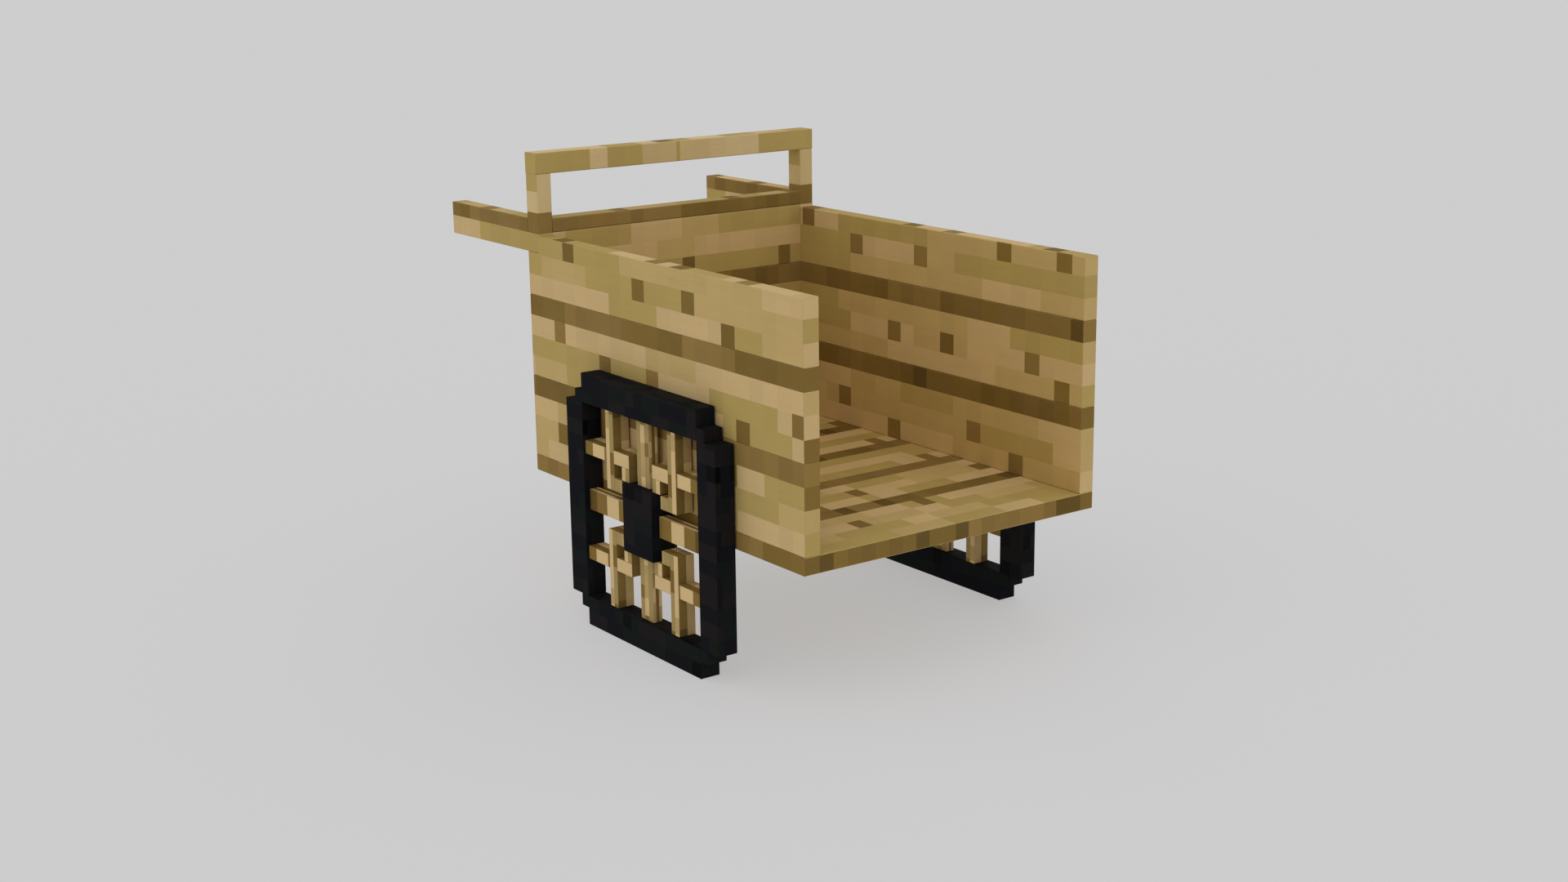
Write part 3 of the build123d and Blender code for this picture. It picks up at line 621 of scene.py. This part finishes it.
def softenEdges(piece, width, segments=2):
    bevel = piece.modifiers.new("softEdges", "BEVEL")
    bevel.width = width
    bevel.segments = segments
    bevel.limit_method = "ANGLE"
    bevel.harden_normals = True
    for face in piece.data.polygons:
        face.use_smooth = True


def installPiece(piece, body, slot, *replaced):
    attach(piece, body)
    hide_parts(*replaced)


shapeSockets = [("shape", "NodeSocketGeometry")]
lengthSocket = "NodeSocketFloat"


# Lattice of one wheel: two crossed arms and two short ties in each quarter
def makeLatticeTree():
    tree, given, out = newGroup("wheelLattice", "GeometryNodeTree", [
        ("centre", "NodeSocketVector", None), ("finish", "NodeSocketMaterial", None),
        ("start", lengthSocket, 0.048), ("bar", lengthSocket, 0.032), ("hole", lengthSocket, 0.236),
        ("depth", lengthSocket, 0.044), ("relief", lengthSocket, 0.001), ("outward", lengthSocket, 1),
    ], shapeSockets)
    start, bar, hole, depth = given["start"], given["bar"], given["hole"], given["depth"]
    inner = calc(tree, "ADD", start, bar)
    outer = calc(tree, "ADD", inner, bar)
    end = calc(tree, "ADD", outer, bar)

    def middle(low, high):
        return calc(tree, "MULTIPLY", calc(tree, "ADD", low, high), 0.5)

    def span(low, high):
        return calc(tree, "SUBTRACT", high, low)

    tieEnd = calc(tree, "SUBTRACT", inner, given["relief"])
    spans = [    # x from, x to, z from, z to, fibres
        (outer, end, start, hole, "z"), (start, outer, outer, end, "x"), (end, hole, outer, end, "x"),
        (start, tieEnd, inner, outer, "z"), (inner, outer, start, tieEnd, "x"),
    ]
    quarter = joinAll(tree, [
        barPiece(tree, (span(a, b), depth, span(c, d)), (middle(a, b), 0.0, middle(c, d)), way, number,
                 given["outward"], 2.0 if way == "z" else 1.0)
        for number, (a, b, c, d, way) in enumerate(spans)
    ])
    front = joinAll(tree, [quarter, turned(tree, quarter, scale=(1, 1, -1))])
    closeTree(tree, joinAll(tree, [front, turned(tree, front, scale=(-1, 1, 1))]), out, given)
    return tree


# Four straight spokes from the hub to the rim
def makeSpokeTree():
    tree, given, out = newGroup("wheelSpokes", "GeometryNodeTree", [
        ("centre", "NodeSocketVector", None), ("finish", "NodeSocketMaterial", None),
        ("hubLength", lengthSocket, 0.12), ("hubHeight", lengthSocket, 0.16), ("hole", lengthSocket, 0.236),
        ("width", lengthSocket, 0.05), ("thickness", lengthSocket, 0.025), ("outward", lengthSocket, 1),
    ], shapeSockets)

    def spoke(hubSize, number, strips):
        hubEdge = calc(tree, "MULTIPLY", hubSize, 0.5)
        length = calc(tree, "SUBTRACT", given["hole"], hubEdge)
        away = calc(tree, "MULTIPLY", calc(tree, "ADD", given["hole"], hubEdge), 0.5)
        return barPiece(tree, (given["width"], given["thickness"], length), (0.0, 0.0, away), "z", number,
                        given["outward"], strips, 3.0)

    upper, level = spoke(given["hubHeight"], 1, 3.0), spoke(given["hubLength"], 2, 1.0)
    spokes = [turned(tree, upper), turned(tree, upper, (0, pi, 0)),
              turned(tree, level, (0, pi / 2, 0)), turned(tree, level, (0, -pi / 2, 0))]
    closeTree(tree, joinAll(tree, spokes), out, given)
    return tree


# Square rim with stepped corners: the level pieces lap outside the upright ones
def makeRimTree():
    tree, given, out = newGroup("steppedRim", "GeometryNodeTree", [
        ("centre", "NodeSocketVector", None), ("finish", "NodeSocketMaterial", None),
        ("hole", lengthSocket, 0.236), ("half", lengthSocket, 0.306), ("shoulder", lengthSocket, 0.029),
        ("depth", lengthSocket, 0.05), ("outward", lengthSocket, 1),
    ], shapeSockets)
    hole, half, shoulder, depth = given["hole"], given["half"], given["shoulder"], given["depth"]
    long = calc(tree, "MULTIPLY", hole, 2)
    width = calc(tree, "SUBTRACT", half, hole)
    away = calc(tree, "MULTIPLY", calc(tree, "ADD", half, hole), 0.5)
    lapAway = calc(tree, "MULTIPLY_ADD", shoulder, 0.5, hole)
    lapDepth = calc(tree, "MULTIPLY", depth, 0.5)
    quarterDepth = calc(tree, "MULTIPLY", calc(tree, "MULTIPLY", depth, 0.25), given["outward"])

    def side(station, number):
        lapLeft = calc(tree, "MULTIPLY", lapAway, -1)
        return joinAll(tree, [barPiece(tree, (long, depth, width), (0.0, 0.0, away), "x", number)] + [
            barPiece(tree, (shoulder, lapDepth, shoulder), (place, station, lapAway), "x", number + step)
            for step, place in enumerate((lapLeft, lapAway), 1)
        ])

    level = side(quarterDepth, 1)
    upright = side(calc(tree, "MULTIPLY", quarterDepth, -1), 4)
    parts = [turned(tree, level), turned(tree, level, (0, pi, 0)),
             turned(tree, upright, (0, pi / 2, 0)), turned(tree, upright, (0, -pi / 2, 0))]
    closeTree(tree, joinAll(tree, parts), out, given)
    return tree


latticeTree, spokeTree, rimTree = makeLatticeTree(), makeSpokeTree(), makeRimTree()
wheelSizes = dict(bar=0.032, relief=0.001, shoulder=0.029, softEdge=0.0014)
quarters = ["upper_front", "upper_rear", "lower_front", "lower_rear"]
ways = ["top", "bottom", "front", "rear"]

for sideName, side in sides.items():
    body = sideName + "_wheel"
    axle = axles[body]
    latticeLow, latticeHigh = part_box(sideName + "_lattice_upper_front")
    rimLow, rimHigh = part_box(sideName + "_rim_top")
    hubLow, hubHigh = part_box(sideName + "_hub")
    spokeLow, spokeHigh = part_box(sideName + "_spoke_top")
    hole = rimLow.z - axle.z

    def station(low, high):
        return (axle.x, (low.y + high.y) / 2, axle.z)

    lattice = growPiece(sideName + "Lattice", latticeTree, {
        "centre": station(latticeLow, latticeHigh), "finish": stripOak, "start": latticeLow.x - axle.x,
        "bar": wheelSizes["bar"], "hole": hole, "depth": latticeHigh.y - latticeLow.y,
        "relief": wheelSizes["relief"], "outward": float(side)})
    softenEdges(lattice, wheelSizes["softEdge"])
    installPiece(lattice, body, "lattice_timber", *[f"{sideName}_lattice_{quarter}" for quarter in quarters])

    spokes = growPiece(sideName + "Spokes", spokeTree, {
        "centre": station(spokeLow, spokeHigh), "finish": stripOak, "hubLength": hubHigh.x - hubLow.x,
        "hubHeight": hubHigh.z - hubLow.z, "hole": hole, "width": spokeHigh.x - spokeLow.x,
        "thickness": spokeHigh.y - spokeLow.y, "outward": float(side)})
    softenEdges(spokes, wheelSizes["softEdge"])
    installPiece(spokes, body, "lattice_timber", *[f"{sideName}_spoke_{way}" for way in ways])

    rim = growPiece(sideName + "Rim", rimTree, {
        "centre": station(rimLow, rimHigh), "finish": blackTimber, "hole": hole, "half": rimHigh.z - axle.z,
        "shoulder": wheelSizes["shoulder"], "depth": rimHigh.y - rimLow.y, "outward": float(side)})
    softenEdges(rim, wheelSizes["softEdge"])
    installPiece(rim, body, "black_timber", *[f"{sideName}_rim_{way}" for way in ways])
print("wheels built")


screwSizes = dict(
    head=0.006, headFace=0.97, headEdge=0.00025, shank=0.003, length=0.080,    # headFace: share of head
    plainTo=0.045, threadFrom=0.046, threadEnds=0.002, pitch=0.0028, root=0.86, tipWidth=0.5, tipLength=0.001,
    slot=0.0012, slotReach=0.985, sides=24,
    floorBoards=6, wallInset=0.05, rearPitch=0.2, rearCount=4, bedOffset=0.032, bedPitch=0.2, bedCount=4,
    plateOffset=0.038, plateDrop=0.022, clearOfAxle=0.057,
)


# One slotted countersunk screw, point upwards, its head at the origin
def makeScrew():
    mesh = bpy.data.meshes.new("screwShape")
    shape = bmesh.new()
    size = screwSizes
    sides, head, shank, top, pitch = (size[name] for name in ("sides", "head", "shank", "length", "pitch"))
    faceEdge = head * size["headFace"]
    rings = [(faceEdge, 0.0), (head, size["headEdge"]), (shank, head - shank), (shank, size["plainTo"])]
    turns = int((top - size["threadFrom"] - size["threadEnds"]) / pitch)
    for step in range(turns):
        low = size["threadFrom"] + step * pitch
        rings += [(shank * size["root"], low), (shank, low + pitch * 0.5)]
    rings += [(shank * size["tipWidth"], top - size["tipLength"])]
    angles = [2 * pi * n / sides for n in range(sides)]
    loops = [[shape.verts.new((r * cos(angle), r * sin(angle), z)) for angle in angles] for r, z in rings]
    for low, high in zip(loops[:-1], loops[1:]):
        for n in range(sides):
            shape.faces.new((low[n], low[(n + 1) % sides], high[(n + 1) % sides], high[n]))
    tip = shape.verts.new((0, 0, top))
    for n in range(sides):
        shape.faces.new((loops[-1][n], loops[-1][(n + 1) % sides], tip))
    # head face in two halves, with the driver slot let in between them
    slot, deep, quarter = size["slot"] / 2, size["slot"], sides // 4
    first = loops[0]
    reach = faceEdge * size["slotReach"]
    corners = [shape.verts.new((x * reach, y * slot, 0.0)) for x, y in ((1, 1), (-1, 1), (-1, -1), (1, -1))]
    lowCorners = [shape.verts.new((v.co.x, v.co.y, deep)) for v in corners]
    shape.faces.new([first[n] for n in range(1, 2 * quarter)] + [corners[1], corners[0]])
    shape.faces.new([first[n] for n in range(2 * quarter + 1, sides)] + [corners[3], corners[2]])
    shape.faces.new((first[0], first[1], corners[0], corners[3], first[sides - 1]))
    half = 2 * quarter
    shape.faces.new((first[half], first[half + 1], corners[2], corners[1], first[half - 1]))
    for n in range(4):
        shape.faces.new((corners[n], corners[(n + 1) % 4], lowCorners[(n + 1) % 4], lowCorners[n]))
    shape.faces.new(lowCorners)
    bmesh.ops.recalc_face_normals(shape, faces=shape.faces)
    shape.to_mesh(mesh)
    shape.free()
    piece = bpy.data.objects.new("screwShape", mesh)
    bpy.context.scene.collection.objects.link(piece)
    return piece


# Sets one screw on every point, its head turned by chance
def makeScrewTree():
    tree, given, out = newGroup("screwSet", "GeometryNodeTree", [
        ("points", "NodeSocketGeometry", None), ("screw", "NodeSocketObject", None),
        ("finish", "NodeSocketMaterial", None), ("centre", "NodeSocketVector", None),
        ("seed", "NodeSocketInt", 4),
    ], shapeSockets)
    source = addNode(tree, "GeometryNodeObjectInfo")
    feed(tree, source.inputs["Object"], given["screw"])
    feed(tree, source.inputs["As Instance"], True)
    drive = addNode(tree, "GeometryNodeInputNamedAttribute", data_type="FLOAT_VECTOR")
    feed(tree, drive.inputs["Name"], "drive")
    aim = addNode(tree, "FunctionNodeAlignRotationToVector", axis="Z")
    feed(tree, aim.inputs["Vector"], drive.outputs[0])
    turn = addNode(tree, "FunctionNodeRandomValue", data_type="FLOAT")
    for socket in turn.inputs:
        if socket.enabled and socket.name == "Max":
            socket.default_value = pi
    feed(tree, turn.inputs["Seed"], given["seed"])
    randomTurn = [socket for socket in turn.outputs if socket.enabled][0]
    spin = addNode(tree, "FunctionNodeRotateRotation", rotation_space="LOCAL")
    about = addNode(tree, "FunctionNodeAxisAngleToRotation")
    feed(tree, about.inputs["Axis"], (0, 0, 1))
    feed(tree, about.inputs["Angle"], randomTurn)
    feed(tree, spin.inputs[0], aim.outputs[0])
    feed(tree, spin.inputs[1], about.outputs[0])
    spread = addNode(tree, "GeometryNodeInstanceOnPoints")
    feed(tree, spread.inputs["Points"], given["points"])
    feed(tree, spread.inputs["Instance"], source.outputs["Geometry"])
    feed(tree, spread.inputs["Rotation"], spin.outputs[0])
    closeTree(tree, spread.outputs[0], out, given)
    return tree


# Head position and driving direction of every screw
def screwStations():
    size = screwSizes
    axle = axles["left_wheel"]
    wallY = sum(corner.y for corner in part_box("left_wall_board_1")) / 2
    rearLow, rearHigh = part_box("rear_wall_board_1")
    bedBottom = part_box("axle_bed")[0].z
    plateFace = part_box("left_thrust_plate")[1].y
    found = []
    for number in range(1, size["floorBoards"] + 1):
        low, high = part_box(f"floor_board_{number}")
        stations = [low.x + size["wallInset"], high.x - size["wallInset"]]
        if low.x < rearHigh.x:
            stations = [(rearHigh.x + high.x) / 2]
        for x in stations:
            if abs(x - axle.x) > size["clearOfAxle"]:
                found += [((x, side * wallY, low.z), (0, 0, 1)) for side in sides.values()]
    for step in range(size["rearCount"]):
        y = (step - (size["rearCount"] - 1) / 2) * size["rearPitch"]
        found.append((((rearLow.x + rearHigh.x) / 2, y, floorLow.z), (0, 0, 1)))
    for step in range(size["bedCount"]):
        y = (step - (size["bedCount"] - 1) / 2) * size["bedPitch"]
        found += [((axle.x + way * size["bedOffset"], y, bedBottom), (0, 0, 1)) for way in (-1, 1)]
    for side in sides.values():
        for way in (-1, 1):
            x = axle.x + way * size["plateOffset"]
            found.append(((x, side * plateFace, axle.z - size["plateDrop"]), (0, -side, 0)))
    return found


def makeScrews():
    found = screwStations()
    points = bpy.data.meshes.new("woodScrews")
    points.from_pydata([place for place, drive in found], [], [])
    drive = points.attributes.new("drive", "FLOAT_VECTOR", "POINT")
    for n, (place, direction) in enumerate(found):
        drive.data[n].vector = direction
    template = makeScrew()
    values = {"screw": template, "finish": bareSteel, "seed": 4}
    piece = growPiece("woodScrews", makeScrewTree(), values, points)
    bpy.data.objects.remove(template)
    installPiece(piece, "cart", "bare_steel", "wood_screws")
    return len(found)


print("screws set:", makeScrews())


# Finishes of the carried-over parts: the first name that fits counts
finishes = [
    ("rear_wall", rearTimber), ("wall_board", wallTimber), ("floor_board", floorTimber),
    ("shaft", shaftTimber), ("post", postTimber), ("push_bar", barTimber), ("rim_beam", rearTimber),
    ("axle_bed", bedTimber), ("dowels", shaftTimber), ("hub", blackTimber), ("thrust_plate", blackIron),
    ("bush", turnedBrass), ("axle", bareSteel), ("linch_pins", bareSteel), ("wood_screws", bareSteel),
]
for name, node in nodes.items():
    picked = next((material for key, material in finishes if key in name), blackTimber)
    node.data.materials.clear()
    node.data.materials.append(picked)
print("finishes set")


# Floor, light and camera
studio = dict(
    floorSize=90.0, floorLevel=-0.0005,
    floorColour=(0.260, 0.258, 0.260, 1), floorGlow=(0.405, 0.4025, 0.405, 1),
    skyColour=(0.752, 0.752, 0.752, 1), backdrop=(0.62, 0.615, 0.62, 1),
    sunStrength=0.3, sunSoftness=1.2, sunFrom=(2.0, -3.2, 4.0),
)
cameraFit = dict(
    place=(4.0911, -2.9141, 1.6632), forward=(-0.78180, 0.57247, -0.24710),
    right=(0.59313, 0.80503, -0.01154), lens=48.77, sensor=36,
)


def makeStudio():
    half = studio["floorSize"] / 2
    mesh = bpy.data.meshes.new("studioFloor")
    corners = [(x * half, y * half, studio["floorLevel"]) for x, y in ((-1, -1), (1, -1), (1, 1), (-1, 1))]
    mesh.from_pydata(corners, [], [(0, 1, 2, 3)])
    floor = bpy.data.objects.new("studioFloor", mesh)
    bpy.context.scene.collection.objects.link(floor)
    material, tree, shader = newMaterial("studioFloor", specular=0.0)
    shader.inputs["Base Color"].default_value = studio["floorColour"]
    shader.inputs["Roughness"].default_value = 1.0
    shader.inputs["Emission Color"].default_value = studio["floorGlow"]
    shader.inputs["Emission Strength"].default_value = 1.0
    mesh.materials.append(material)

    world = bpy.data.worlds.new("studioSky")
    world.use_nodes = True
    bpy.context.scene.world = world
    tree = world.node_tree
    tree.nodes.clear()
    seen = addNode(tree, "ShaderNodeLightPath").outputs["Is Camera Ray"]
    sky = addNode(tree, "ShaderNodeBackground")
    feed(tree, sky.inputs["Color"], mixColour(tree, seen, studio["skyColour"], studio["backdrop"]))
    feed(tree, addNode(tree, "ShaderNodeOutputWorld").inputs["Surface"], sky.outputs[0])

    lamp = bpy.data.lights.new("softSun", "SUN")
    lamp.energy = studio["sunStrength"]
    lamp.angle = studio["sunSoftness"]
    sun = bpy.data.objects.new("softSun", lamp)
    sun.rotation_mode = "QUATERNION"
    sun.rotation_quaternion = Vector(studio["sunFrom"]).to_track_quat("Z", "Y")
    bpy.context.scene.collection.objects.link(sun)


def makeCamera():
    lens = bpy.data.cameras.new("camera")
    lens.sensor_width = cameraFit["sensor"]
    lens.lens = cameraFit["lens"]
    camera = bpy.data.objects.new("camera", lens)
    forward = Vector(cameraFit["forward"]).normalized()
    right = Vector(cameraFit["right"])
    right = (right - forward * right.dot(forward)).normalized()
    up = right.cross(forward)
    turn = Matrix((right, up, -forward)).transposed().to_4x4()
    camera.matrix_world = Matrix.Translation(cameraFit["place"]) @ turn
    bpy.context.scene.collection.objects.link(camera)
    bpy.context.scene.camera = camera


makeStudio()
makeCamera()
bpy.context.scene.view_settings.view_transform = "Standard"
print("studio ready")
